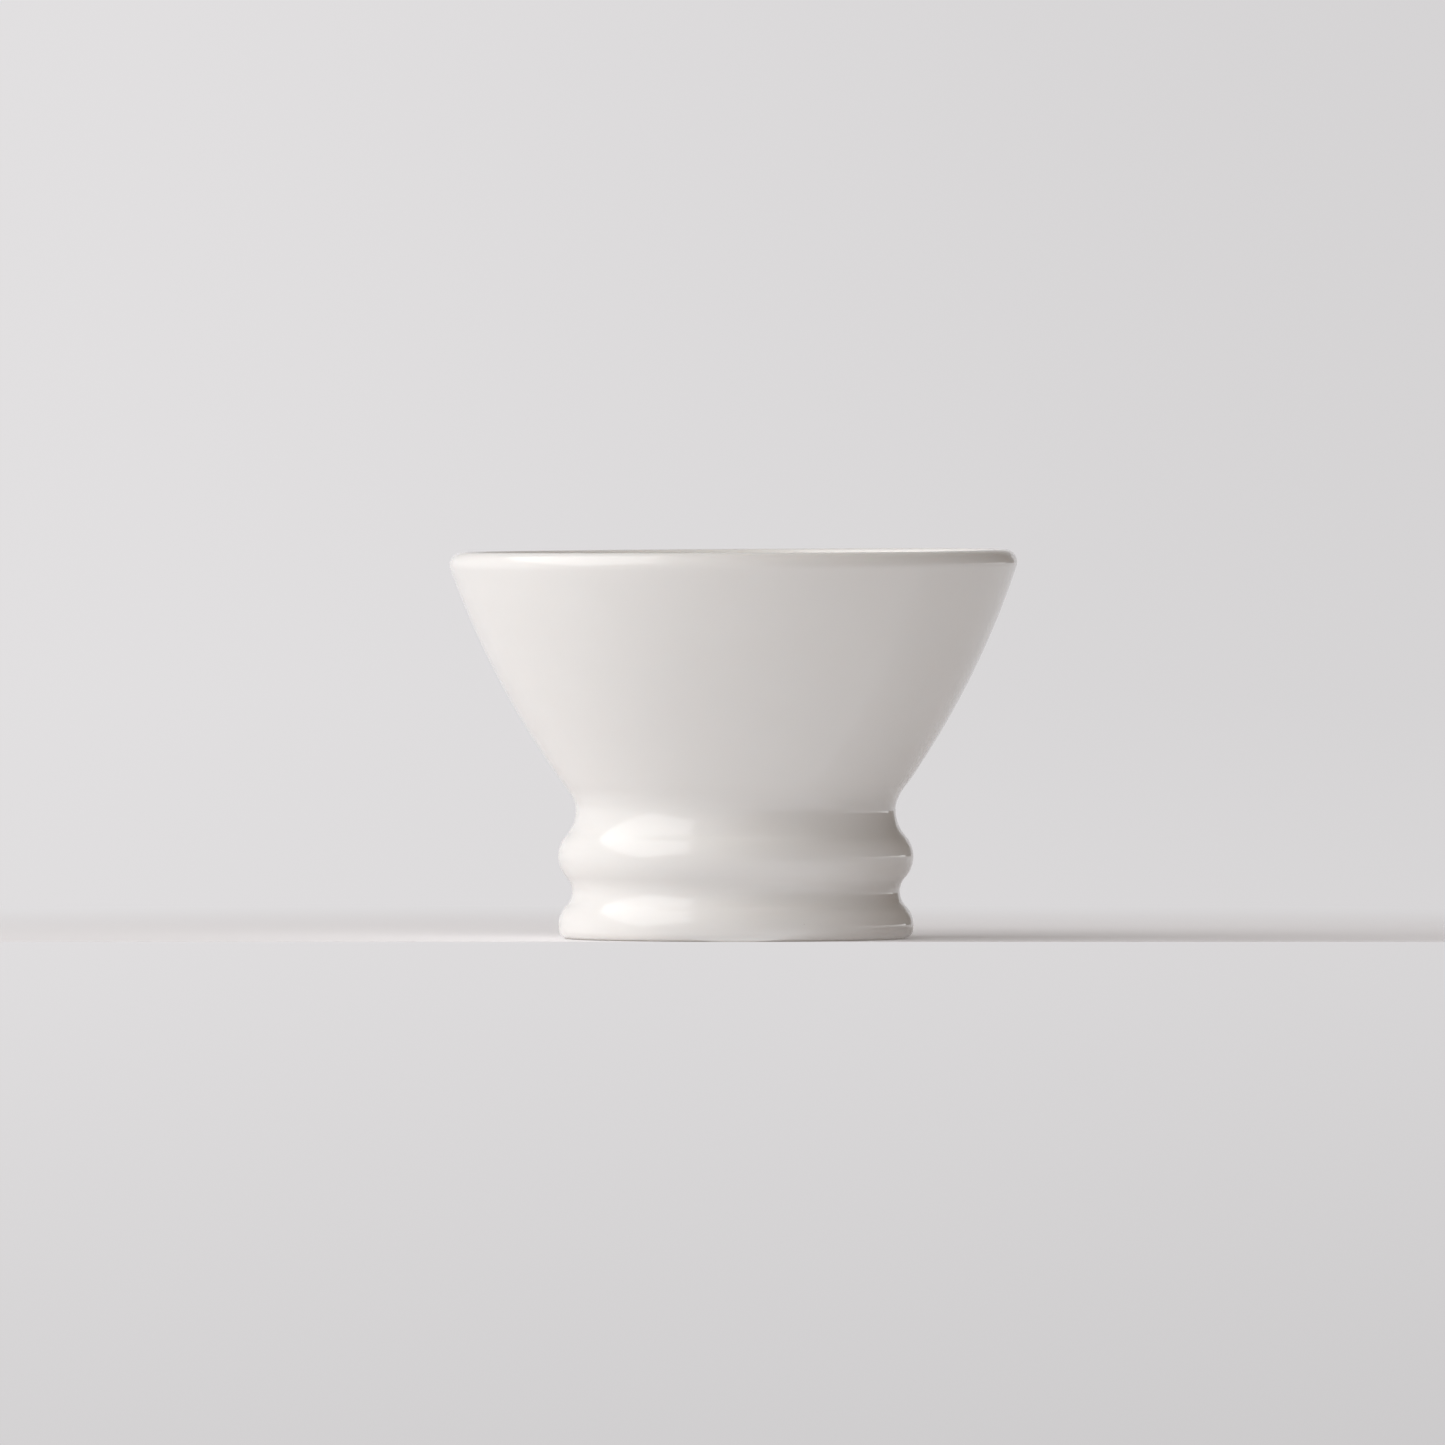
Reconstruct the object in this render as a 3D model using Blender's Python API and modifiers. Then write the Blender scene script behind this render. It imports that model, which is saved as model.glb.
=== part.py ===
"""Flat-bottomed pour-over coffee dripper: one fired porcelain body and its fluted paper filter.

The porcelain is a turned shape: a cup with gently swelling walls and a rounded lip, a smooth neck and
a foot of two soft rings with a waist between them. A flat bed crosses it at the neck, with drip holes
between raised ribs, and the foot is hollow below the bed. The paper filter stands on the ribs inside
the cup and lifts straight out.

Units are metres, +Z is up, and the origin is on the axis at the foot's contact plane.
"""

import math

import bmesh
import bpy
from mathutils import Vector

MM = 0.001
TURN_STEPS = 64  # facets round the turned porcelain
NEAR = 0.02 * MM  # merges points that are meant to be one

# Outer form. A ring's radius is the widest distance from the axis, its bulge is the section's radius.
HEIGHT = 81.0 * MM
WALL_SWELL = 210.8 * MM  # radius of the long outward curve of the cup's side
WALL_CENTRE = Vector((-138.2 * MM, 152.3 * MM))  # that curve's centre, as (radius, height)
LIP_OUTER, LIP_INNER = 2.7 * MM, 1.5 * MM  # roundings of the lip's two edges, which meet at its top
NECK_FILLET = 7.0 * MM
UPPER_RING_RADIUS, UPPER_RING_HEIGHT, UPPER_RING_BULGE = 36.5 * MM, 18.1 * MM, 6.4 * MM
WAIST_FILLET = 4.35 * MM
LOWER_RING_RADIUS, LOWER_RING_HEIGHT, LOWER_RING_BULGE = 36.6 * MM, 3.7 * MM, 5.7 * MM
FOOT_EDGE = 3.0 * MM  # rounding from the lower ring to the contact plane

# Inner form
WALL_THICKNESS = 4.6 * MM
BED_HEIGHT = 26.5 * MM
BED_THICKNESS = 5.0 * MM
BED_FILLET = 3.0 * MM
HOLLOW_RADIUS_LOW, HOLLOW_RADIUS_HIGH = 30.0 * MM, 29.0 * MM
HOLLOW_FILLET = 4.0 * MM
FOOT_INNER_EDGE = 0.6 * MM

# Drip bed
RIB_COUNT = 6  # and as many holes between them, with one more in the middle
RIB_HEIGHT, RIB_WIDTH = 1.3 * MM, 2.4 * MM
RIB_INNER, RIB_OUTER = 6.5 * MM, 27.5 * MM  # distances from the axis to a rib's two ends
RIB_ROOT = 2.0 * MM  # how far a rib is sunk into the bed that it grows from
HOLE_RADIUS = 2.2 * MM
HOLE_CIRCLE = 14.0 * MM
HOLE_SIDES = 20

# Paper filter
GAP = 0.3 * MM  # kept between the paper and the porcelain
PAPER = 0.4 * MM
FILTER_BASE_RADIUS = 25.0 * MM
FILTER_CUT_RADIUS = 80.5 * MM  # the flat disc that the filter is pressed from
FILTER_RIM_CREST = 52.8 * MM  # radius that the flutes' crests reach at the top edge
FILTER_SWELL = 2.0 * MM  # how far the crests bow out towards the cup's wall half way up
FLUTES = 20
POINTS_PER_FLUTE = 6
FILTER_ROWS = 5  # rows of points from the base's edge to the top edge
FOLD_ANGLE = math.radians(60)  # the paper is shaded smooth over edges that bend less than this
HALVINGS = 40  # steps of the search for a row's flute depth

PORCELAIN_COLOUR, PORCELAIN_ROUGHNESS = (0.80, 0.775, 0.75, 1.0), 0.12
PAPER_COLOUR, PAPER_ROUGHNESS = (0.86, 0.82, 0.74, 1.0), 0.85


def clear_scene():
    for item in list(bpy.data.objects):
        bpy.data.objects.remove(item, do_unlink=True)


def new_collection(name):
    group = bpy.data.collections.new(name)
    bpy.context.scene.collection.children.link(group)
    return group


def new_material(name, colour, roughness):
    material = bpy.data.materials.new(name)
    material.use_nodes = True
    shader = material.node_tree.nodes["Principled BSDF"]
    shader.inputs["Base Color"].default_value = colour
    shader.inputs["Roughness"].default_value = roughness
    shader.inputs["Metallic"].default_value = 0.0
    material.diffuse_color = colour
    return material


def object_from(name, bm, group):
    mesh = bpy.data.meshes.new(name)
    bm.to_mesh(mesh)
    bm.free()
    item = bpy.data.objects.new(name, mesh)
    group.objects.link(item)
    return item


def touching_centre(centre_a, reach_a, centre_b, reach_b):
    """Where a circle's centre lies, outside the wall, at two given distances from two other centres."""
    across = centre_b - centre_a
    span = across.length
    along = (reach_a**2 - reach_b**2 + span**2) / (2 * span)
    outward = Vector((across.y, -across.x)) / span
    return centre_a + across / span * along + outward * math.sqrt(reach_a**2 - along**2)


def heading(centre, point):
    """Angle of the line from a centre to a point, counted from outwards and growing upwards."""
    return math.atan2(point.y - centre.y, point.x - centre.x)


def arc(centre, radius, start, end, points):
    """Points on an arc in the (radius, height) plane, both ends included. Angles are in radians."""
    return [
        centre + radius * Vector((math.cos(angle), math.sin(angle)))
        for angle in (start + (end - start) * i / (points - 1) for i in range(points))
    ]


def beside_swell(height, reach):
    """The point at a height that lies at a given distance from the side curve's centre."""
    return Vector((WALL_CENTRE.x + math.sqrt(reach**2 - (height - WALL_CENTRE.y) ** 2), height))


def cup_outline():
    """From the middle of the bed out along it, up the inner face and over the lip's inner edge."""
    inner_face = WALL_SWELL - WALL_THICKNESS
    fillet = beside_swell(BED_HEIGHT + BED_FILLET, inner_face - BED_FILLET)
    lip = beside_swell(HEIGHT - LIP_INNER, inner_face + LIP_INNER)
    foot, top = heading(WALL_CENTRE, fillet), heading(WALL_CENTRE, lip)
    return (
        [Vector((0, BED_HEIGHT))]
        + arc(fillet, BED_FILLET, -math.pi / 2, foot, 4)
        + arc(WALL_CENTRE, inner_face, foot, top, 7)[1:]
        + arc(lip, LIP_INNER, top + math.pi, math.pi / 2, 4)[1:]
    )


def outside_outline():
    """From the top of the lip down the outer side to the contact plane."""
    lip = beside_swell(HEIGHT - LIP_OUTER, WALL_SWELL - LIP_OUTER)
    upper = Vector((UPPER_RING_RADIUS - UPPER_RING_BULGE, UPPER_RING_HEIGHT))
    lower = Vector((LOWER_RING_RADIUS - LOWER_RING_BULGE, LOWER_RING_HEIGHT))
    neck = touching_centre(upper, UPPER_RING_BULGE + NECK_FILLET, WALL_CENTRE, WALL_SWELL + NECK_FILLET)
    waist = touching_centre(lower, LOWER_RING_BULGE + WAIST_FILLET, upper, UPPER_RING_BULGE + WAIST_FILLET)
    edge_reach = LOWER_RING_BULGE - FOOT_EDGE
    edge_drop = LOWER_RING_HEIGHT - FOOT_EDGE
    edge = Vector((lower.x + math.sqrt(edge_reach**2 - edge_drop**2), FOOT_EDGE))
    top = heading(WALL_CENTRE, lip)
    return (
        arc(lip, LIP_OUTER, math.pi / 2, top, 6)[1:]
        + arc(WALL_CENTRE, WALL_SWELL, top, heading(WALL_CENTRE, neck), 9)[1:]
        + arc(neck, NECK_FILLET, heading(neck, WALL_CENTRE), heading(neck, upper) + 2 * math.pi, 5)[1:]
        + arc(upper, UPPER_RING_BULGE, heading(upper, neck), heading(upper, waist), 7)[1:]
        + arc(waist, WAIST_FILLET, heading(waist, upper), heading(waist, lower) + 2 * math.pi, 5)[1:]
        + arc(lower, LOWER_RING_BULGE, heading(lower, waist), heading(lower, edge), 6)[1:]
        + arc(edge, FOOT_EDGE, heading(lower, edge), -math.pi / 2, 5)[1:]
    )


def hollow_outline():
    """From the contact plane up the inside of the foot and in along the bed's underside."""
    ceiling = BED_HEIGHT - BED_THICKNESS
    corner = Vector((HOLLOW_RADIUS_HIGH - HOLLOW_FILLET, ceiling - HOLLOW_FILLET))
    return (
        [
            Vector((HOLLOW_RADIUS_LOW + FOOT_INNER_EDGE, 0)),
            Vector((HOLLOW_RADIUS_LOW, FOOT_INNER_EDGE)),
        ]
        + arc(corner, HOLLOW_FILLET, 0, math.pi / 2, 4)
        + [Vector((0, ceiling))]
    )


def turned(name, outline, group):
    """Turns an outline of (radius, height) points about Z with a Screw modifier."""
    bm = bmesh.new()
    verts = [bm.verts.new((point.x, 0, point.y)) for point in outline]
    for first, second in zip(verts, verts[1:]):
        bm.edges.new((first, second))
    item = object_from(name, bm, group)
    screw = item.modifiers.new("Turn", "SCREW")
    screw.axis = "Z"
    screw.angle = 2 * math.pi
    screw.steps = screw.render_steps = TURN_STEPS
    screw.use_smooth_shade = True
    screw.use_merge_vertices = True
    screw.merge_threshold = NEAR
    return item


def mark_as_tool(item):
    """A tool shapes another object through a Boolean modifier and isn't a part itself."""
    item.hide_render = True
    item.display_type = "WIRE"


def boolean(item, tool, operation):
    step = item.modifiers.new(f"{operation.title()} {tool.name}", "BOOLEAN")
    step.operation = operation
    step.solver = "EXACT"
    step.object = tool


def drip_hole_cutters(group):
    """One cylinder for each hole: one in the middle of the bed and a ring of them between the ribs."""
    centres = [Vector((0, 0))]
    for i in range(RIB_COUNT):
        angle = 2 * math.pi * i / RIB_COUNT
        centres.append(HOLE_CIRCLE * Vector((math.cos(angle), math.sin(angle))))
    depth = 2 * BED_THICKNESS
    for i, centre in enumerate(centres):
        bm = bmesh.new()
        bmesh.ops.create_cone(
            bm, cap_ends=True, segments=HOLE_SIDES, radius1=HOLE_RADIUS, radius2=HOLE_RADIUS, depth=depth
        )
        cutter = object_from(f"drip_hole_{i}", bm, group)
        cutter.location = (centre.x, centre.y, BED_HEIGHT - BED_THICKNESS / 2)
        mark_as_tool(cutter)
        yield cutter


def rib_blanks(group):
    """One bar for each rib, sunk into the bed and into the fillet round it."""
    length = RIB_OUTER - RIB_INNER
    for i in range(RIB_COUNT):
        bm = bmesh.new()
        bmesh.ops.create_cube(bm, size=1.0)
        bmesh.ops.scale(bm, vec=(length, RIB_WIDTH, RIB_HEIGHT + RIB_ROOT), verts=bm.verts)
        rib = object_from(f"rib_{i}", bm, group)
        angle = 2 * math.pi * (i + 0.5) / RIB_COUNT
        middle = (RIB_OUTER + RIB_INNER) / 2
        rib.rotation_euler = (0, 0, angle)
        rib.location = (
            middle * math.cos(angle),
            middle * math.sin(angle),
            BED_HEIGHT + (RIB_HEIGHT - RIB_ROOT) / 2,
        )
        mark_as_tool(rib)
        yield rib


def porcelain_body(group, tools):
    outline = cup_outline() + outside_outline() + hollow_outline()
    body = turned("porcelain_body", outline, group)
    for rib in rib_blanks(tools):
        boolean(body, rib, "UNION")
    for hole in drip_hole_cutters(tools):
        boolean(body, hole, "DIFFERENCE")
    return body


def wave_row(middle, half, height):
    """One row of points round the fluted wall, which swings half either side of its middle radius."""
    count = FLUTES * POINTS_PER_FLUTE
    row = []
    for i in range(count):
        angle = 2 * math.pi * i / count
        radius = middle + half * math.cos(FLUTES * angle)
        row.append(Vector((radius * math.cos(angle), radius * math.sin(angle), height)))
    return row


def row_length(row):
    """Length round one closed row of points."""
    return sum((a - b).length for a, b in zip(row, row[1:] + row[:1]))


def flute_depth(crest, length):
    """Half the height of the waves that lay a paper edge of this length round a circle at the crests."""
    low, high = 0.0, crest / 2
    for _ in range(HALVINGS):
        half = (low + high) / 2
        if row_length(wave_row(crest - half, half, 0.0)) < length:
            low = half
        else:
            high = half
    return (low + high) / 2


def filter_rows():
    """Rows of the paper's wall from base to top. Each row is as long round as the flat disc is there."""
    base_height = BED_HEIGHT + RIB_HEIGHT + GAP
    slant = FILTER_CUT_RADIUS - FILTER_BASE_RADIUS
    spread = FILTER_RIM_CREST - FILTER_BASE_RADIUS
    rise = math.sqrt(slant**2 - spread**2)
    rows = []
    for i in range(FILTER_ROWS):
        share = i / (FILTER_ROWS - 1)
        crest = FILTER_BASE_RADIUS + spread * share + 4 * FILTER_SWELL * share * (1 - share)
        half = flute_depth(crest, 2 * math.pi * (FILTER_BASE_RADIUS + slant * share))
        rows.append(wave_row(crest - half, half, base_height + rise * share))
    return rows


def paper_filter(group):
    """A fluted cup of paper: an open surface lofted from a round base to a waved edge, made solid."""
    bm = bmesh.new()
    rows = [[bm.verts.new(point) for point in row] for row in filter_rows()]
    bm.faces.new(reversed(rows[0]))
    for lower, upper in zip(rows, rows[1:]):
        for i in range(len(lower)):
            j = (i + 1) % len(lower)
            bm.faces.new((lower[i], lower[j], upper[j], upper[i]))
    item = object_from("paper_filter", bm, group)
    item.data.shade_smooth()
    item.data.set_sharp_from_angle(angle=FOLD_ANGLE)
    shell = item.modifiers.new("Paper", "SOLIDIFY")
    shell.thickness = PAPER
    shell.offset = -1.0
    shell.use_even_offset = True
    return item


def main():
    clear_scene()
    parts = new_collection("pour_over_dripper")
    tools = new_collection("cutters")

    body = porcelain_body(parts, tools)
    body.data.materials.append(new_material("porcelain", PORCELAIN_COLOUR, PORCELAIN_ROUGHNESS))

    lift = bpy.data.objects.new("filter_lift", None)  # on the axis along which the filter lifts
    parts.objects.link(lift)
    basket = paper_filter(parts)
    basket.parent = lift
    basket.data.materials.append(new_material("filter_paper", PAPER_COLOUR, PAPER_ROUGHNESS))


main()
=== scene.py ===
import math
import random

import bpy
from mathutils import Matrix, Vector, noise

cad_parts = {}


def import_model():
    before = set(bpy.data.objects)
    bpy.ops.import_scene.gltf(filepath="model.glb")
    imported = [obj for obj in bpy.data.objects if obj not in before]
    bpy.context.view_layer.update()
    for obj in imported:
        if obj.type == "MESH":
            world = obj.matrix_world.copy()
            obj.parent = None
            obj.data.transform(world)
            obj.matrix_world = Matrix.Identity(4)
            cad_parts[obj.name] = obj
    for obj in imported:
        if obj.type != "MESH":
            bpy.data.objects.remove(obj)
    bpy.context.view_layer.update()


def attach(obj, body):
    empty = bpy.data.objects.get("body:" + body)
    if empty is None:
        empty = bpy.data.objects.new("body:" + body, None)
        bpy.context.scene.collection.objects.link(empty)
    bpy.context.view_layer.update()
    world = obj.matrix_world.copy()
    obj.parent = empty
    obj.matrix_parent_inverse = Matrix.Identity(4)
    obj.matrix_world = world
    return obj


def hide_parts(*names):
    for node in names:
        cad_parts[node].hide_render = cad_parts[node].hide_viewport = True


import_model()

# Lengths are in mm, and mesh_object turns them into metres. The object stands on z = 0, centred on x = y = 0.
MM = 0.001
TAU = 2 * math.pi
scene = bpy.context.scene

# ---------------------------------------------------------------- sizes of the real object

# The outside. Every Vector in a profile is (radius from the axis, height).
HEIGHT = 81.0
RIM_RADIUS = 59.0
WALL_SWELL = 210.8  # radius on which the wall swells outward
WALL_CENTRE = Vector((-138.2, 152.3))
LIP_OUTER, LIP_INNER = 2.7, 1.5
NECK_FILLET = 8.5
UPPER_RING, UPPER_BULGE = Vector((30.5, 17.1)), 6.4
WAIST_FILLET = 4.35
LOWER_RING, LOWER_BULGE = Vector((31.2, 2.8)), 5.7
FOOT_EDGE = 2.2

# The inside of the cup and the hollow of the foot.
WALL_THICKNESS = 4.6
BED_HEIGHT, BED_THICKNESS, BED_FILLET = 26.5, 5.0, 3.0
HOLLOW_LOW, HOLLOW_HIGH, HOLLOW_FILLET = 30.0, 29.0, 4.0
FOOT_INNER_EDGE = 0.6

# Ribs and drip holes of the bed.
RIB_COUNT, RIB_HEIGHT = 6, 1.25
RIB_FLAT, RIB_HALF_WIDTH = 0.35, 1.3
RIB_INNER, RIB_END = 6.5, 0.9
HOLE_RADIUS, HOLE_CIRCLE, HOLE_LIP = 2.2, 14.0, 0.8
CUTTER_BEND = math.radians(104)  # the cutter's rounding stops just short of level
CUTTER_FLARE = Vector((0.9, 0.22))  # and a flare leads on out of the porcelain

# What drying and firing do to the shape.
CUP_LEAN = 0.6
KILN_TILT = 0.40
RIM_DIP, DIP_HEADING, DIP_SHARPNESS = 0.28, math.radians(-58), 5
OUT_OF_ROUND, LONG_AXIS = 0.0008, 0.7
BELLY, BELLY_FROM, BELLY_FULL, BELLY_HEIGHT, BELLY_HALF = 0.72, 26.5, 33.0, 38.0, 39.0
THROWING_RIPPLE, RIPPLE_PER_MM, RIPPLE_TWIST = 0.018, 0.52, 0.8
RIPPLE_BEGINS, RIPPLE_ENDS = (0.30, 0.45), (0.93, 0.985)  # shares of the height
WIDE_SWELL, WIDE_SCALE, WIDE_SQUASH, WIDE_BEGINS = 0.05, 0.045, 1.3, (0.05, 0.4)

# The paper filter. FILTER_CUT is the flat disc's radius and FILTER_CREST the flutes' outer radius at the top.
FLUTES = 20
FILTER_FLOOR = 28.15
FILTER_BASE, FILTER_CUT, FILTER_CREST, FILTER_SWELL = 25.0, 80.5, 52.6, 2.0
BASE_FOLD, FOLD_RISE = 1.2, 0.9
BASE_PUFF, PUFF_SCALE = 0.16, 0.16
FLUTE_INSET, CRINKLE_INSET = 0.15, 0.12  # room between the flutes and the porcelain
FLUTE_SHAPING = 0.10  # turns the wave a little straighter between crest and valley
UNEVEN_DEPTH, UNEVEN_REACH, UNEVEN_TURN = 0.10, 0.12, 0.010
CRINKLES = ((0.14, 0.42), (0.06, 1.1))  # (height, noise scale)
RAGGED_CUT, RAGGED_SCALE = 0.35, 2.2
PAPER = 0.24

# How finely the two pieces are meshed.
AROUND = 288
HOLE_STEPS = 48
FILTER_AROUND, BASE_ROWS, FOLD_ROWS, WALL_ROWS = FLUTES * 22, 14, 5, 46


# ---------------------------------------------------------------- small tools


def mesh_object(name, verts, faces, smooth=True):
    """A new object in the scene, from points in mm."""
    mesh = bpy.data.meshes.new(name)
    mesh.from_pydata([tuple(c * MM for c in v) for v in verts], [], faces)
    mesh.validate()
    if smooth:
        mesh.shade_smooth()
    item = bpy.data.objects.new(name, mesh)
    scene.collection.objects.link(item)
    return item


def apply_modifiers(item, material):
    """Turn what the modifiers make into the object's own mesh, and give it its material."""
    bpy.context.view_layer.update()
    graph = bpy.context.evaluated_depsgraph_get()
    finished = bpy.data.meshes.new_from_object(item.evaluated_get(graph))
    item.modifiers.clear()
    item.data = finished
    finished.shade_smooth()
    finished.materials.clear()
    finished.materials.append(material)


def on_circle(radius, angle, height):
    """A point at a distance from the axis, an angle round it and a height."""
    return (radius * math.cos(angle), radius * math.sin(angle), height)


def band_faces(rows, around):
    """Quads between neighbouring rows of a closed tube."""
    faces = []
    for r in range(rows - 1):
        for i in range(around):
            j = (i + 1) % around
            faces.append((r * around + i, r * around + j, (r + 1) * around + j, (r + 1) * around + i))
    return faces


def ribbon_faces(count):
    """Quads along a ribbon whose points come in pairs."""
    return [(2 * i, 2 * i + 1, 2 * i + 3, 2 * i + 2) for i in range(count)]


def smoothstep(low, high, value):
    """0 below low, 1 above high and a smooth rise between them."""
    t = min(max((value - low) / (high - low), 0.0), 1.0)
    return t * t * (3 - 2 * t)


def arc(centre, radius, start, end, step):
    """Points along an arc of a profile, about step mm apart."""
    count = max(4, math.ceil(abs(end - start) * radius / step))
    return [
        centre + radius * Vector((math.cos(a), math.sin(a)))
        for a in (start + (end - start) * i / count for i in range(count + 1))
    ]


def line(start, end, step):
    """Points along a straight piece of a profile, at most step mm apart."""
    count = max(1, math.ceil((end - start).length / step))
    return [start.lerp(end, i / count) for i in range(count + 1)]


def heading(centre, point):
    """The angle at which point is seen from centre."""
    return math.atan2(point.y - centre.y, point.x - centre.x)


def beside_swell(height, reach):
    """The point at a height that is reach away from the centre of the wall's swell."""
    return Vector((WALL_CENTRE.x + math.sqrt(reach**2 - (height - WALL_CENTRE.y) ** 2), height))


def touching(a, reach_a, b, reach_b):
    """The centre, on the outer side, that is reach_a from a and reach_b from b."""
    across = b - a
    span = across.length
    along = (reach_a**2 - reach_b**2 + span**2) / (2 * span)
    outward = Vector((across.y, -across.x)) / span
    return a + across / span * along + outward * math.sqrt(reach_a**2 - along**2)


# ---------------------------------------------------------------- materials

# Distances in the materials are in metres, and a noise's scale is in waves per metre.


class Nodes:
    """A material's node tree with short ways to add and join nodes."""

    def __init__(self, name):
        self.material = bpy.data.materials.new(name)
        self.material.use_nodes = True
        self.tree = self.material.node_tree
        self.tree.nodes.clear()
        self.output = self.tree.nodes.new("ShaderNodeOutputMaterial")
        self.place = self.add("ShaderNodeTexCoord").outputs["Object"]

    def add(self, kind, **settings):
        """A new node with its properties set."""
        node = self.tree.nodes.new(kind)
        for key, value in settings.items():
            setattr(node, key, value)
        return node

    def feed(self, node, values):
        """Join or set a node's inputs."""
        for key, value in values.items():
            socket = node.inputs[key]
            if isinstance(value, bpy.types.NodeSocket):
                self.tree.links.new(value, socket)
            else:
                socket.default_value = value

    def noise(self, scale, detail, roughness=0.5, stretch=None):
        where = self.place
        if stretch:
            mapping = self.add("ShaderNodeMapping")
            self.feed(mapping, {"Vector": where, "Scale": stretch})
            where = mapping.outputs["Vector"]
        node = self.add("ShaderNodeTexNoise")
        self.feed(node, {"Vector": where, "Scale": scale, "Detail": detail, "Roughness": roughness})
        return node.outputs["Fac"]

    def ramp(self, value, low, high, out_low=0.0, out_high=1.0, smooth=True):
        """A value that runs from out_low to out_high while the input runs from low to high."""
        node = self.add("ShaderNodeMapRange", interpolation_type="SMOOTHSTEP" if smooth else "LINEAR")
        self.feed(
            node,
            {"Value": value, "From Min": low, "From Max": high, "To Min": out_low, "To Max": out_high},
        )
        return node.outputs["Result"]

    def maths(self, operation, a, b=0.0):
        node = self.add("ShaderNodeMath", operation=operation)
        self.feed(node, {0: a, 1: b})
        return node.outputs[0]

    def mix(self, factor, a, b):
        node = self.add("ShaderNodeMix", data_type="RGBA")
        self.feed(node, {"Factor": factor, 6: a, 7: b})
        return node.outputs[2]

    def axes(self):
        node = self.add("ShaderNodeSeparateXYZ")
        self.feed(node, {"Vector": self.place})
        return node.outputs

    def from_axis(self, x, y):
        """Distance from the upright axis."""
        squares = self.maths("ADD", self.maths("MULTIPLY", x, x), self.maths("MULTIPLY", y, y))
        return self.maths("SQRT", squares)

    def bump(self, height, distance, strength=1.0, below=None):
        node = self.add("ShaderNodeBump")
        self.feed(node, {"Height": height, "Distance": distance, "Strength": strength})
        if below:
            self.feed(node, {"Normal": below})
        return node.outputs["Normal"]

    def surface(self, shader):
        self.tree.links.new(shader, self.output.inputs["Surface"])
        return self.material

    def principled(self, **values):
        node = self.add("ShaderNodeBsdfPrincipled")
        self.feed(node, {key.replace("_", " "): value for key, value in values.items()})
        return self.surface(node.outputs["BSDF"])


GLAZE_WHITE, GLAZE_BRIGHT, GLAZE_CREAM = (
    (0.848, 0.828, 0.802, 1),
    (0.866, 0.846, 0.820, 1),
    (0.850, 0.826, 0.795, 1),
)
IRON_SPECK, SPECK_STRENGTH = (0.36, 0.30, 0.24, 1), 0.55
BISCUIT_DARK, BISCUIT_LIGHT = (0.70, 0.66, 0.60, 1), (0.78, 0.75, 0.70, 1)
GLAZE_ROUGH, BISCUIT_ROUGH = (0.045, 0.065), 0.72
BARE_HEIGHT, BARE_WOBBLE, BARE_FROM = (0.00045, 0.00030), 0.00025, (0.0295, 0.0300)


def glaze_colour(n):
    """Warm white with faint clouds and a few fine iron specks."""
    broad = n.ramp(n.noise(22.0, 3.0), 0.3, 0.7)
    cloud = n.ramp(n.noise(95.0, 2.0), 0.35, 0.75, 0.0, 0.35)
    speck = n.ramp(n.noise(1400.0, 0.0), 0.86, 0.90)
    rare = n.ramp(n.noise(160.0, 1.0), 0.66, 0.72)
    specks = n.maths("MULTIPLY", n.maths("MULTIPLY", speck, rare), SPECK_STRENGTH)
    tint = n.mix(cloud, n.mix(broad, GLAZE_WHITE, GLAZE_BRIGHT), GLAZE_CREAM)
    return n.mix(specks, tint, IRON_SPECK)


def bare_foot(n):
    """1 on the ring that is wiped free of glaze so that it doesn't stick to the kiln shelf."""
    x, y, z = n.axes()
    wobble = n.maths("MULTIPLY", n.noise(600.0, 2.0), BARE_WOBBLE)
    low = n.ramp(n.maths("ADD", z, wobble), *BARE_HEIGHT)
    return n.maths("MULTIPLY", low, n.ramp(n.from_axis(x, y), *BARE_FROM))


def glaze_material():
    """Clear glossy glaze over warm white porcelain, with a bare ring where the foot stood in the kiln."""
    n = Nodes("porcelain_glaze")
    bare = bare_foot(n)
    grain = n.noise(5000.0, 2.0)
    colour = n.mix(bare, glaze_colour(n), n.mix(grain, BISCUIT_DARK, BISCUIT_LIGHT))

    gloss = n.ramp(n.noise(60.0, 2.0), 0.3, 0.7, *GLAZE_ROUGH)
    rough = n.ramp(bare, 0.0, 1.0, gloss, BISCUIT_ROUGH, smooth=False)

    peel = n.bump(n.noise(230.0, 1.0), 0.000012, 0.5)
    fine = n.bump(n.noise(900.0, 1.0), 0.000004, 0.5, peel)
    normal = n.bump(n.maths("MULTIPLY", bare, grain), 0.00003, 1.0, fine)
    return n.principled(
        Base_Color=colour,
        Roughness=rough,
        Normal=normal,
        IOR=1.56,
        Subsurface_Weight=0.06,
        Subsurface_Radius=(0.004, 0.003, 0.0025),
        Subsurface_Scale=0.5,
    )


PAPER_SHADE, PAPER_PALE, PAPER_FIBRE = (0.83, 0.79, 0.715, 1), (0.885, 0.855, 0.795, 1), (0.91, 0.88, 0.82, 1)


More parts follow.
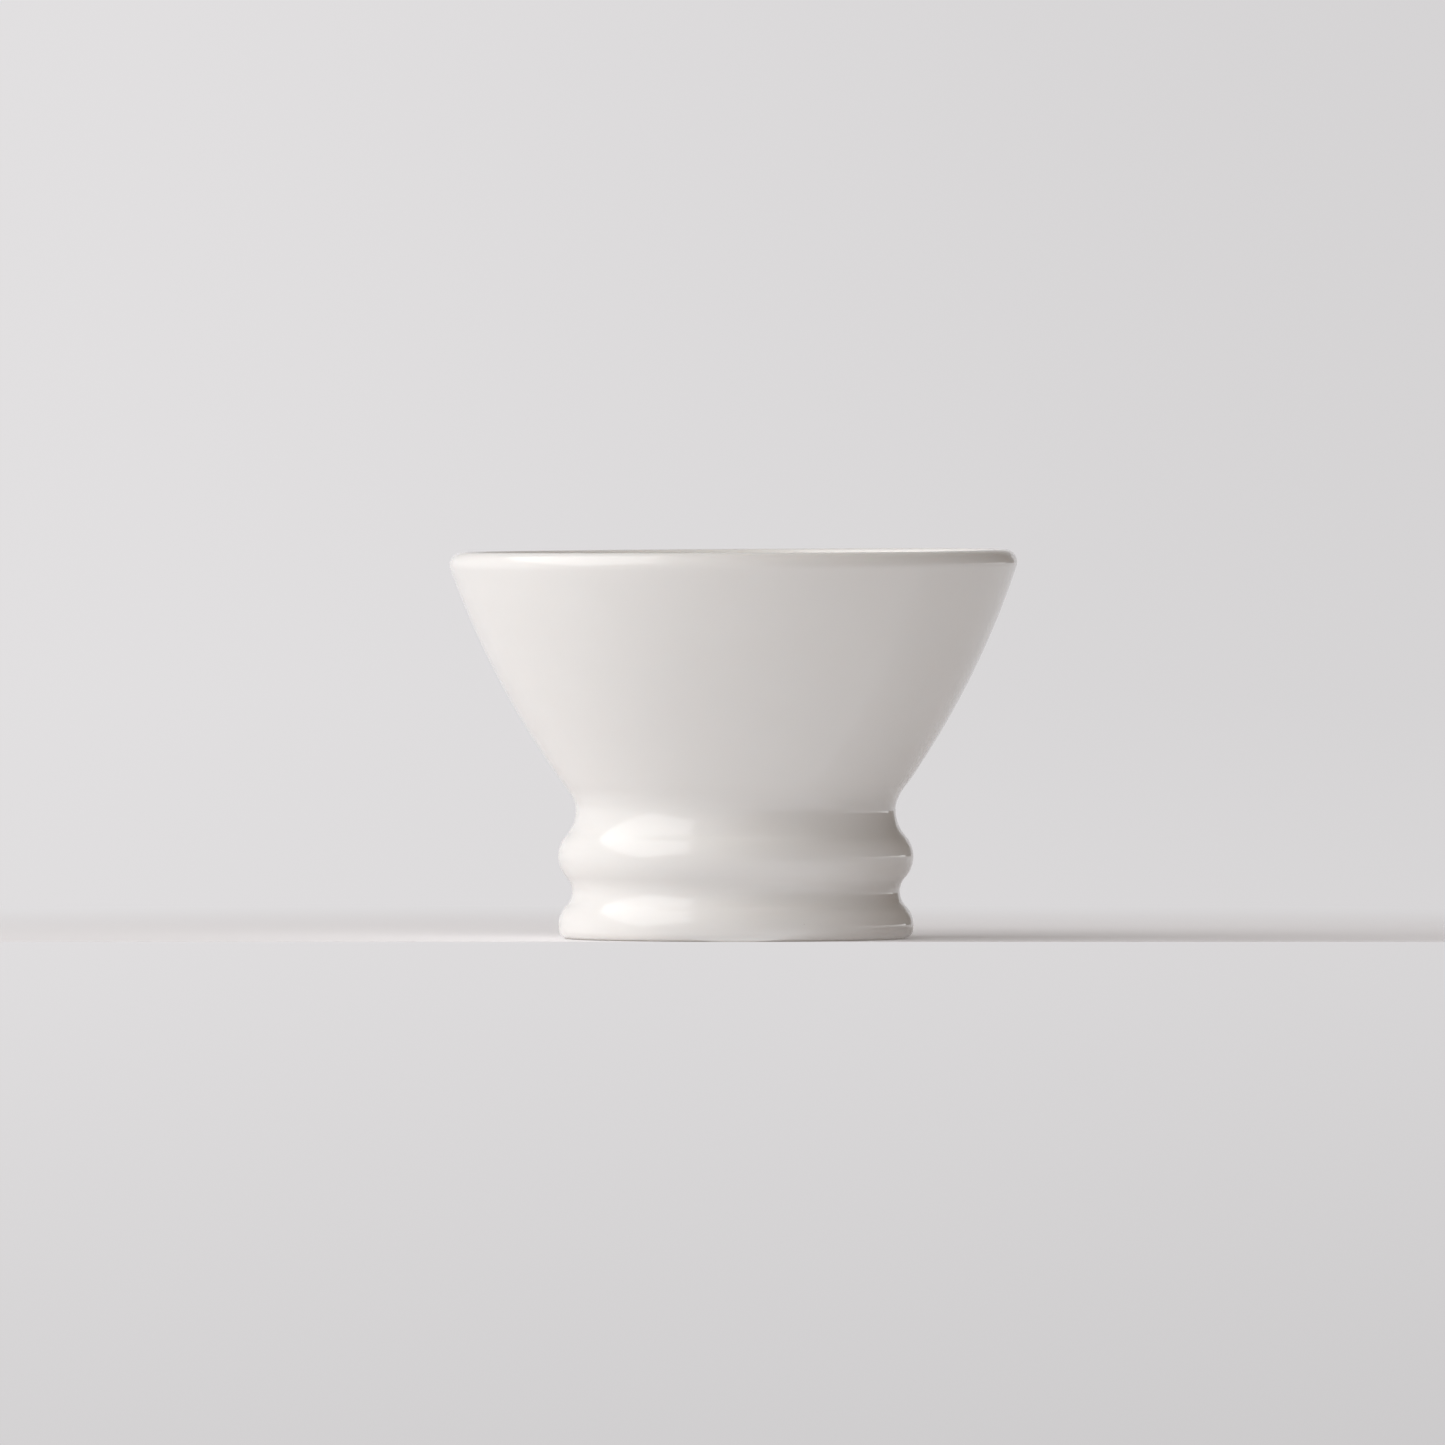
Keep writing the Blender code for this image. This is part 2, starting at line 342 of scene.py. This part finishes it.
def paper_material():
    """Oxygen-bleached filter paper: soft, matt, with a crepe grain and fibres."""
    n = Nodes("crepe_filter_paper")
    fibre = n.noise(2600.0, 3.0, 0.6, stretch=(1.0, 1.0, 0.35))
    clump = n.noise(420.0, 3.0, 0.6)
    crepe = n.noise(900.0, 2.0, 0.5, stretch=(1.0, 1.0, 2.6))
    tint = n.mix(n.ramp(clump, 0.3, 0.7), PAPER_SHADE, PAPER_PALE)
    tint = n.mix(n.ramp(fibre, 0.35, 0.75, 0.0, 0.5), tint, PAPER_FIBRE)
    normal = n.bump(fibre, 0.00003, 0.6, n.bump(crepe, 0.00009, 0.7))
    return n.principled(
        Base_Color=tint,
        Roughness=n.ramp(fibre, 0.3, 0.7, 0.80, 0.95),
        Normal=normal,
        IOR=1.4,
        Specular_IOR_Level=0.25,
        Subsurface_Weight=0.25,
        Subsurface_Radius=(0.002, 0.0017, 0.0013),
        Subsurface_Scale=0.4,
        Sheen_Weight=0.12,
        Sheen_Roughness=0.5,
    )


# ---------------------------------------------------------------- porcelain body


def inside_outline():
    """From beside the middle hole out along the bed and up the inner face to the top of the lip."""
    inner = WALL_SWELL - WALL_THICKNESS
    fillet = beside_swell(BED_HEIGHT + BED_FILLET, inner - BED_FILLET)
    lip = beside_swell(HEIGHT - LIP_INNER, inner + LIP_INNER)
    hole_edge = Vector((HOLE_RADIUS + HOLE_LIP, BED_HEIGHT - HOLE_LIP))
    bottom, top = heading(WALL_CENTRE, fillet), heading(WALL_CENTRE, lip)
    low = BED_HEIGHT - BED_THICKNESS + HOLE_LIP
    return (
        line(Vector((HOLE_RADIUS, low)), Vector((HOLE_RADIUS, hole_edge.y)), 0.8)[:-1]
        + arc(hole_edge, HOLE_LIP, math.pi, math.pi / 2, 0.2)
        + line(Vector((hole_edge.x, BED_HEIGHT)), Vector((fillet.x, BED_HEIGHT)), 0.6)[1:]
        + arc(fillet, BED_FILLET, -math.pi / 2, bottom, 0.4)[1:]
        + arc(WALL_CENTRE, inner, bottom, top, 1.2)[1:]
        + arc(lip, LIP_INNER, top + math.pi, math.pi / 2, 0.25)[1:-1]
    )


def outside_outline():
    """From the top of the lip down the wall and over both foot rings to the contact plane."""
    lip = beside_swell(HEIGHT - LIP_OUTER, WALL_SWELL - LIP_OUTER)
    neck = touching(UPPER_RING, UPPER_BULGE + NECK_FILLET, WALL_CENTRE, WALL_SWELL + NECK_FILLET)
    waist = touching(LOWER_RING, LOWER_BULGE + WAIST_FILLET, UPPER_RING, UPPER_BULGE + WAIST_FILLET)
    reach, drop = LOWER_BULGE - FOOT_EDGE, LOWER_RING.y - FOOT_EDGE
    edge = Vector((LOWER_RING.x + math.sqrt(reach**2 - drop**2), FOOT_EDGE))
    top = heading(WALL_CENTRE, lip)
    upper, lower = heading(UPPER_RING, waist), heading(LOWER_RING, edge)
    return (
        arc(lip, LIP_OUTER, math.pi / 2, top, 0.3)
        + arc(WALL_CENTRE, WALL_SWELL, top, heading(WALL_CENTRE, neck), 1.0)[1:]
        + arc(neck, NECK_FILLET, heading(neck, WALL_CENTRE), heading(neck, UPPER_RING) + TAU, 0.4)[1:]
        + arc(UPPER_RING, UPPER_BULGE, heading(UPPER_RING, neck), upper, 0.4)[1:]
        + arc(waist, WAIST_FILLET, heading(waist, UPPER_RING), heading(waist, LOWER_RING) + TAU, 0.35)[1:]
        + arc(LOWER_RING, LOWER_BULGE, heading(LOWER_RING, waist), lower, 0.4)[1:]
        + arc(edge, FOOT_EDGE, lower, -math.pi / 2, 0.35)[1:]
        + line(Vector((edge.x, 0)), Vector((HOLLOW_LOW + FOOT_INNER_EDGE, 0)), 0.5)[1:]
    )


def hollow_outline():
    """From the contact plane up inside the foot and back in under the bed to the middle hole."""
    ceiling = BED_HEIGHT - BED_THICKNESS
    foot = Vector((HOLLOW_LOW + FOOT_INNER_EDGE, FOOT_INNER_EDGE))
    corner = Vector((HOLLOW_HIGH - HOLLOW_FILLET, ceiling - HOLLOW_FILLET))
    hole_edge = Vector((HOLE_RADIUS + HOLE_LIP, ceiling + HOLE_LIP))
    return (
        arc(foot, FOOT_INNER_EDGE, -math.pi / 2, -math.pi, 0.2)[1:]
        + line(Vector((HOLLOW_LOW, FOOT_INNER_EDGE)), Vector((HOLLOW_HIGH, corner.y)), 1.2)[1:]
        + arc(corner, HOLLOW_FILLET, 0, math.pi / 2, 0.5)[1:]
        + line(Vector((corner.x, ceiling)), Vector((hole_edge.x, ceiling)), 0.9)[1:]
        + arc(hole_edge, HOLE_LIP, -math.pi / 2, -math.pi, 0.2)[1:-1]
    )


def rib_rise(radius, angle):
    """How far the bed stands up into a rib at a point on it."""
    pitch = TAU / RIB_COUNT
    off = angle % pitch - pitch / 2
    across = abs(radius * math.sin(off))
    along = radius * math.cos(off)
    side = 1 - smoothstep(RIB_FLAT, RIB_HALF_WIDTH, across)
    end = smoothstep(RIB_INNER - RIB_END, RIB_INNER + RIB_END, along)
    return RIB_HEIGHT * side * end


def lean(z):
    """The foot stands a little to one side under the rim, and the parts between share the shift."""
    return CUP_LEAN * (1 - (max(z, 0.0) / HEIGHT) ** 2)


def fired(point):
    """The slight unevenness that drying and firing leave in a thrown piece."""
    x, y, z = point
    high = max(z, 0.0) / HEIGHT
    angle = math.atan2(y, x)
    radius = math.hypot(x, y)

    z -= KILN_TILT * high**2 * (1 - x / RIM_RADIUS)
    z -= RIM_DIP * high**2 * ((1 + math.cos(angle - DIP_HEADING)) / 2) ** DIP_SHARPNESS

    belly = BELLY * smoothstep(BELLY_FROM, BELLY_FULL, z) * (1 - ((z - BELLY_HEIGHT) / BELLY_HALF) ** 2)
    ripple = THROWING_RIPPLE * math.sin(z * RIPPLE_PER_MM + RIPPLE_TWIST * angle)
    ripple *= smoothstep(*RIPPLE_BEGINS, high) * (1 - smoothstep(*RIPPLE_ENDS, high))
    wide = WIDE_SWELL * noise.noise(Vector((x, y, z * WIDE_SQUASH)) * WIDE_SCALE)
    wide *= smoothstep(*WIDE_BEGINS, high)
    oval = 1 - OUT_OF_ROUND * high**2 * (1 + math.cos(2 * angle - LONG_AXIS)) / 2
    factor = oval * (radius + max(belly, 0.0) - abs(ripple) - abs(wide)) / radius
    return x * factor + lean(z), y * factor, z


def hole_cutter(x, y):
    """The shape that cuts a drip hole with both its edges rounded, as the glaze leaves them."""
    half = HOLE_RADIUS + HOLE_LIP
    upper = arc(Vector((half, BED_HEIGHT - HOLE_LIP)), HOLE_LIP, math.pi, CUTTER_BEND, 0.12)
    under = Vector((half, BED_HEIGHT - BED_THICKNESS + HOLE_LIP))
    lower = arc(under, HOLE_LIP, -CUTTER_BEND, -math.pi, 0.12)
    start = lower[0] + Vector((CUTTER_FLARE.x, -CUTTER_FLARE.y))
    outline = [start] + lower + upper + [upper[-1] + CUTTER_FLARE]
    verts = []
    for point in outline:
        for i in range(HOLE_STEPS):
            across, along, z = on_circle(point.x, TAU * i / HOLE_STEPS, point.y)
            verts.append((x + across, y + along, z))
    faces = band_faces(len(outline), HOLE_STEPS)
    last = (len(outline) - 1) * HOLE_STEPS
    faces.append(tuple(reversed(range(HOLE_STEPS))))
    faces.append(tuple(last + i for i in range(HOLE_STEPS)))
    return mesh_object("drip_hole_cutter", verts, faces)


def bed_level(point, angle):
    """The height of a point on the inside, lifted where a rib stands on the bed."""
    if point.y < BED_HEIGHT - 0.01:
        return point.y
    return max(point.y, BED_HEIGHT + rib_rise(point.x, angle))


def turned_body():
    """The porcelain as it comes off the wheel, with only the middle hole."""
    inside = inside_outline()
    outline = inside + outside_outline() + hollow_outline()
    verts = []
    for index, point in enumerate(outline):
        for i in range(AROUND):
            a = TAU * i / AROUND
            z = bed_level(point, a) if index < len(inside) else point.y
            verts.append(fired(on_circle(point.x, a, z)))
    faces = band_faces(len(outline), AROUND)
    last = (len(outline) - 1) * AROUND
    for i in range(AROUND):
        j = (i + 1) % AROUND
        faces.append((last + i, last + j, j, i))
    return mesh_object("glazed_porcelain_body", verts, faces)


def porcelain_body():
    """The porcelain piece, with the ring of drip holes cut through the bed."""
    body = turned_body()
    cutters = []
    for i in range(RIB_COUNT):
        x, y, _ = on_circle(HOLE_CIRCLE, TAU * i / RIB_COUNT, 0.0)
        cutters.append(hole_cutter(x, y))
        step = body.modifiers.new("hole", "BOOLEAN")
        step.operation = "DIFFERENCE"
        step.solver = "EXACT"
        step.object = cutters[-1]
    apply_modifiers(body, glaze_material())
    for cutter in cutters:
        bpy.data.objects.remove(cutter)
    return body


# ---------------------------------------------------------------- paper filter


def wave_length(crest, half, points=12):
    """Length of paper round one row of flutes, where half is half their depth."""
    corners = []
    for i in range(points + 1):
        a = TAU / FLUTES * i / points
        radius = crest - half + half * math.cos(FLUTES * a)
        corners.append(Vector((radius * math.cos(a), radius * math.sin(a))))
    return FLUTES * sum((b - a).length for a, b in zip(corners, corners[1:]))


def flute_depth(crest, length):
    """Half the depth that takes up a given length of paper."""
    low, high = 0.0, crest / 2
    for _ in range(30):
        half = (low + high) / 2
        if wave_length(crest, half) < length:
            low = half
        else:
            high = half
    return (low + high) / 2


def flute_point(share, angle, crest, half, uneven, skew):
    """Where a point of the fluted wall lies. share runs from the base's edge, 0, to the cut edge, 1."""
    slot = FLUTES * angle / TAU + 0.5
    flute = math.floor(slot) % FLUTES
    near_crest = 0.5 - 0.5 * math.cos(TAU * (slot - math.floor(slot)))
    wave = math.cos(FLUTES * angle)
    shaped = wave + FLUTE_SHAPING * (wave**3 - wave)
    amount = near_crest * share
    depth = half * (1 - UNEVEN_DEPTH * uneven[flute] * amount)
    radius = crest - half + depth * shaped - UNEVEN_REACH * abs(uneven[flute]) * amount
    turned = angle + UNEVEN_TURN * skew[flute] * amount
    return radius * math.cos(turned), radius * math.sin(turned)


def base_rows(angles):
    """The flat base, which puffs up by a fraction of a millimetre."""
    rows = []
    for i in range(1, BASE_ROWS + 1):
        share = i / BASE_ROWS
        row = []
        for a in angles:
            x, y, z = on_circle((FILTER_BASE - BASE_FOLD) * share, a, FILTER_FLOOR + PAPER / 2)
            puff = BASE_PUFF * noise.noise(Vector((x, y, 3.0)) * PUFF_SCALE)
            row.append((x, y, z + puff * (1 - 0.6 * share)))
        rows.append(row)
    return rows


def fold_rows(angles):
    """The soft fold between the base and the wall."""
    rows = []
    for i in range(1, FOLD_ROWS):
        bend = math.pi / 2 * i / FOLD_ROWS
        radius = FILTER_BASE - BASE_FOLD + math.sin(bend)
        height = FILTER_FLOOR + PAPER / 2 + FOLD_RISE * (1 - math.cos(bend))
        rows.append([on_circle(radius, a, height) for a in angles])
    return rows


def crinkle(point):
    """How far the paper's surface stands out or in at a point."""
    return sum(height * noise.noise(point * scale) for height, scale in CRINKLES)


def wall_rows(angles):
    """The fluted wall. Each row is as long as the flat disc is round at that distance from its middle."""
    rng = random.Random(7)
    uneven = [rng.uniform(-1, 1) for _ in range(FLUTES)]
    skew = [rng.uniform(-1, 1) for _ in range(FLUTES)]
    slant = FILTER_CUT - FILTER_BASE
    spread = FILTER_CREST - FILTER_BASE
    rise = math.sqrt(slant**2 - spread**2)
    rows = []
    for i in range(2, WALL_ROWS + 1):
        share = i / WALL_ROWS
        crest = FILTER_BASE + spread * share + 4 * FILTER_SWELL * share * (1 - share)
        half = flute_depth(crest, TAU * (FILTER_BASE + slant * share)) * smoothstep(0.0, 0.10, share)
        z = FILTER_FLOOR + rise * share
        row = []
        for a in angles:
            x, y = flute_point(share, a, crest - FLUTE_INSET, half, uneven, skew)
            radius = math.hypot(x, y)
            out = crinkle(Vector((x, y, z))) * smoothstep(0.0, 0.2, share)
            factor = (radius - CRINKLE_INSET + out) / radius
            ragged = noise.noise(Vector(on_circle(RAGGED_SCALE, a, 9.0)))
            row.append((x * factor, y * factor, z - RAGGED_CUT * share**6 * (1 + ragged)))
        rows.append(row)
    return rows


def paper_filter():
    """A flat disc of paper pressed into a flat-bottomed, fluted cup: a thin closed shell."""
    angles = [TAU * j / FILTER_AROUND for j in range(FILTER_AROUND)]
    rows = base_rows(angles) + fold_rows(angles) + wall_rows(angles)
    points = [(0.0, 0.0, FILTER_FLOOR + PAPER / 2)] + [p for row in rows for p in row]
    verts = [(x + lean(z), y, z) for x, y, z in points]
    faces = [(0, 1 + j, 1 + (j + 1) % FILTER_AROUND) for j in range(FILTER_AROUND)]
    for a, b, c, d in band_faces(len(rows), FILTER_AROUND):
        faces.append((1 + a, 1 + d, 1 + c, 1 + b))
    item = mesh_object("fluted_paper_filter", verts, faces)
    shell = item.modifiers.new("paper", "SOLIDIFY")
    shell.thickness = PAPER * MM
    shell.offset = 0.0
    shell.use_even_offset = True
    apply_modifiers(item, paper_material())
    return item


# ---------------------------------------------------------------- stage

EDGE = -35.0  # front edge of the table, just in front of the foot
EDGE_ROUND = 0.8
REACH = 4700.0  # how far the table reaches
CURVE_STEPS = 96
WALL_TOP, FLOOR_LEVEL = 800.0, -700.0
REFLECTOR_REACH, REFLECTOR_TOP = 4600.0, 180.0
REFLECTOR_ARC = range(-25, 56, 4)  # degrees, counted from the right

# Tones. Distances here are in metres, as the shader sees them.
# Painted light falloff: the stage's tone runs from TONE_LEFT to the darker TONE_RIGHT, as the key on the left
# would leave it.
TONE_LEFT, TONE_RIGHT, TONE_SPAN = 0.745, 0.655, 0.32
STAGE_TINT = (1.02, 1, 1.01)
# Painted light: the near table glows a little, which lightens the object's cast shadow on it.
TABLE_COLOUR, TABLE_PAINTED_GLOW = (0.765, 0.75, 0.755, 1), 0.12
TABLE_NEAR, TABLE_FAR = 0.10, 0.40
# Painted shade: the table's front glows less a little way below its top edge.
FRONT_PAINTED_SHADE, PAINTED_SHADE_DEPTH = 0.88, 0.11
FLOOR_LEFT, FLOOR_RIGHT = 0.72, 0.76
REFLECTOR_GLOW = 2.2


def pale(n, left=TONE_LEFT, right=TONE_RIGHT):
    """The stage's tone, which runs from left to right. With the default tones it is painted light falloff: a
    little darker to the right, as the key on the left would leave it.
    """
    return n.ramp(n.axes()[0], -TONE_SPAN, TONE_SPAN, left, right)


def tinted(n, tone):
    """A tone as a colour, a touch pinker than grey."""
    node = n.add("ShaderNodeCombineColor")
    n.feed(node, {i: n.maths("MULTIPLY", tone, share) for i, share in enumerate(STAGE_TINT)})
    return node.outputs[0]


def table_material():
    """A pale matt table near the object, with a faint painted glow that lightens its cast shadow; further out
    it fades into the same glow as the wall behind it.
    """
    n = Nodes("stage_table")
    x, y, _ = n.axes()
    matt = n.add("ShaderNodeBsdfDiffuse")
    n.feed(matt, {"Color": TABLE_COLOUR})
    # Painted glow that lightens the cast shadow on the table.
    painted_glow = n.add("ShaderNodeEmission")
    n.feed(painted_glow, {"Color": (*STAGE_TINT, 1), "Strength": TABLE_PAINTED_GLOW})
    near = n.add("ShaderNodeAddShader")
    n.feed(near, {0: matt.outputs[0], 1: painted_glow.outputs[0]})
    far = n.add("ShaderNodeEmission")
    n.feed(far, {"Color": tinted(n, pale(n)), "Strength": 1.0})
    away = n.ramp(n.from_axis(x, y), TABLE_NEAR, TABLE_FAR)
    mix = n.add("ShaderNodeMixShader")
    n.feed(mix, {0: away, 1: near.outputs[0], 2: far.outputs[0]})
    return n.surface(mix.outputs[0])


def glow_material(name, strength=1.0, left=TONE_LEFT, right=TONE_RIGHT, painted_shade_share=None):
    """An even glow. Given a share, painted shade darkens it downward: only that share of it is left a little
    way below the table's top.
    """
    n = Nodes(name)
    tone = pale(n, left, right)
    if painted_shade_share:
        left_over = n.ramp(n.axes()[2], -PAINTED_SHADE_DEPTH, 0.0, painted_shade_share, 1.0, smooth=False)
        tone = n.maths("MULTIPLY", tone, left_over)
    glow = n.add("ShaderNodeEmission")
    n.feed(glow, {"Color": tinted(n, tone), "Strength": strength})
    return n.surface(glow.outputs[0])


def upright(name, line_points, low, high, material):
    """An upright band that follows a line on the ground."""
    verts = [(x, y, z) for x, y, _ in line_points for z in (low, high)]
    band = mesh_object(name, verts, ribbon_faces(len(line_points) - 1))
    band.data.materials.append(material)
    return band


def stage_front():
    """The table's front, with its top edge rounded over."""
    quarter = [math.pi / 2 * i / 8 for i in range(9)]
    profile = [(EDGE - EDGE_ROUND * math.sin(a), -EDGE_ROUND * (1 - math.cos(a))) for a in quarter]
    profile.append((EDGE - EDGE_ROUND, FLOOR_LEVEL))
    verts = [(x, y, z) for y, z in profile for x in (-REACH, REACH)]
    front = mesh_object("stage_front", verts, ribbon_faces(len(profile) - 1))
    # Painted shade: the front's glow is darker a little way below the edge.
    front.data.materials.append(glow_material("stage_front", painted_shade_share=FRONT_PAINTED_SHADE))
    return front


def stage_floor():
    """The floor far below the table's front."""
    corners = [(-REACH, EDGE), (REACH, EDGE), (REACH, -REACH), (-REACH, -REACH)]
    verts = [(x, y, FLOOR_LEVEL) for x, y in corners]
    floor = mesh_object("stage_floor", verts, [(0, 1, 2, 3)], smooth=False)
    floor.data.materials.append(glow_material("stage_floor", left=FLOOR_LEFT, right=FLOOR_RIGHT))
    return floor


def stage_reflector():
    """A bright band far to the right, which only the glaze mirrors, as thin lines on the foot rings."""
    path = [on_circle(REFLECTOR_REACH, math.radians(a), 0.0) for a in REFLECTOR_ARC]
    glow = glow_material("stage_reflector", REFLECTOR_GLOW)
    strip = upright("stage_reflector", path, 0.0, REFLECTOR_TOP, glow)
    strip.visible_camera = False
    strip.visible_diffuse = False
    return strip


def stage():
    """A half round table with a straight front edge, a wall all along its curve and a floor below."""
    start = math.asin(EDGE / REACH)
    sweep = math.pi - 2 * start
    curve = [on_circle(REACH, start + sweep * i / CURVE_STEPS, 0.0) for i in range(CURVE_STEPS + 1)]
    top = mesh_object("stage_table", curve, [tuple(range(len(curve)))], smooth=False)
    top.data.materials.append(table_material())

    split = CURVE_STEPS * 2 // 5
    for name, first, last in (("stage_wall", split, CURVE_STEPS), ("stage_wall_right", 0, split)):
        wall = upright(name, curve[first : last + 1], 0.0, WALL_TOP, glow_material(name))
    # The right-hand wall only fills the picture: the glaze mirrors the darker studio behind it.
    wall.visible_glossy = False
    wall.visible_diffuse = False

    strip = stage_reflector()
    front = stage_front()
    floor = stage_floor()


# ---------------------------------------------------------------- light and camera

# Lengths here are in metres.
LIGHT_AIM = Vector((0, 0, 0.03))
WINDOW_SIDE = (0.26, 0.84, 0.479)  # the long side of the window that the glaze mirrors
STUDIO_LEFT, STUDIO_RIGHT = (0.64, 0.625, 0.625, 1), (0.162, 0.137, 0.117, 1)
STUDIO_TURN = (-0.05, 0.58)  # where the left of the studio turns into its right
OVERHEAD_SHARE = 0.36  # how much height counts as right
CAMERA_PLACE, CAMERA_PITCH = (-0.0022, -6.0, 0.115), 90 - 0.6696
CAMERA_LENS, CAMERA_SENSOR = 720.0, 36.0


def softbox(name, azimuth, elevation, distance, width, height, power, along=None):
    """A soft light. azimuth counts in degrees from the camera's side to the left, along is its long side."""
    lamp = bpy.data.lights.new(name, "AREA")
    lamp.shape = "RECTANGLE"
    lamp.size = width
    lamp.size_y = height
    lamp.energy = power
    item = bpy.data.objects.new(name, lamp)
    scene.collection.objects.link(item)
    a, e = math.radians(azimuth), math.radians(elevation)
    back = Vector((-math.sin(a) * math.cos(e), -math.cos(a) * math.cos(e), math.sin(e)))
    side = Vector(along or (-math.cos(a), math.sin(a), 0))
    side = (side - side.dot(back) * back).normalized()
    item.rotation_euler = Matrix((side, back.cross(side), back)).transposed().to_euler()
    item.location = back * distance + LIGHT_AIM
    item.visible_camera = False
    return item


def lights():
    """A key and a fill that only light, and a slanted window that only the glaze mirrors."""
    key = softbox("key", azimuth=83, elevation=26, distance=1.1, width=1.15, height=1.05, power=6.8)
    key.visible_glossy = False
    glint = softbox(
        "glint", azimuth=76, elevation=42, distance=1.1, width=1.8, height=1.0, power=9.4, along=WINDOW_SIDE
    )
    glint.visible_diffuse = False
    fill = softbox("fill", azimuth=20, elevation=52, distance=1.2, width=0.9, height=0.7, power=2.5)
    fill.visible_glossy = False


def world():
    """The studio around: bright on the left, darker and warmer on the right and a little so overhead."""
    sky = bpy.data.worlds.new("studio")
    sky.use_nodes = True
    tree = sky.node_tree
    tree.nodes.clear()
    out = tree.nodes.new("ShaderNodeOutputWorld")
    back = tree.nodes.new("ShaderNodeBackground")
    place = tree.nodes.new("ShaderNodeTexCoord")
    split = tree.nodes.new("ShaderNodeSeparateXYZ")
    tree.links.new(place.outputs["Generated"], split.inputs[0])

    up = tree.nodes.new("ShaderNodeMath")
    up.operation = "MULTIPLY_ADD"
    up.inputs[1].default_value = OVERHEAD_SHARE
    tree.links.new(split.outputs[2], up.inputs[0])
    tree.links.new(split.outputs[0], up.inputs[2])

    side = tree.nodes.new("ShaderNodeMapRange")
    side.interpolation_type = "SMOOTHSTEP"
    side.inputs["From Min"].default_value = STUDIO_TURN[0]
    side.inputs["From Max"].default_value = STUDIO_TURN[1]
    tree.links.new(up.outputs[0], side.inputs["Value"])

    mix = tree.nodes.new("ShaderNodeMix")
    mix.data_type = "RGBA"
    mix.inputs[6].default_value = STUDIO_LEFT
    mix.inputs[7].default_value = STUDIO_RIGHT
    tree.links.new(side.outputs[0], mix.inputs["Factor"])
    tree.links.new(mix.outputs[2], back.inputs["Color"])
    back.inputs["Strength"].default_value = 1.0
    tree.links.new(back.outputs[0], out.inputs["Surface"])
    scene.world = sky


def camera():
    """A long lens nearly level with the rim."""
    lens = bpy.data.cameras.new("camera")
    lens.lens = CAMERA_LENS
    lens.sensor_width = CAMERA_SENSOR
    lens.sensor_fit = "HORIZONTAL"
    lens.clip_start = 0.1
    lens.clip_end = 40.0
    item = bpy.data.objects.new("camera", lens)
    scene.collection.objects.link(item)
    item.location = CAMERA_PLACE
    item.rotation_euler = (math.radians(CAMERA_PITCH), 0, 0)
    scene.camera = item


# ---------------------------------------------------------------- scene

scene.view_settings.view_transform = "Standard"
scene.view_settings.look = "None"

body = porcelain_body()
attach(body, "dripper")
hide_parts("porcelain_body")

paper = paper_filter()
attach(paper, "filter")
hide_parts("paper_filter")

stage()
lights()
world()
camera()
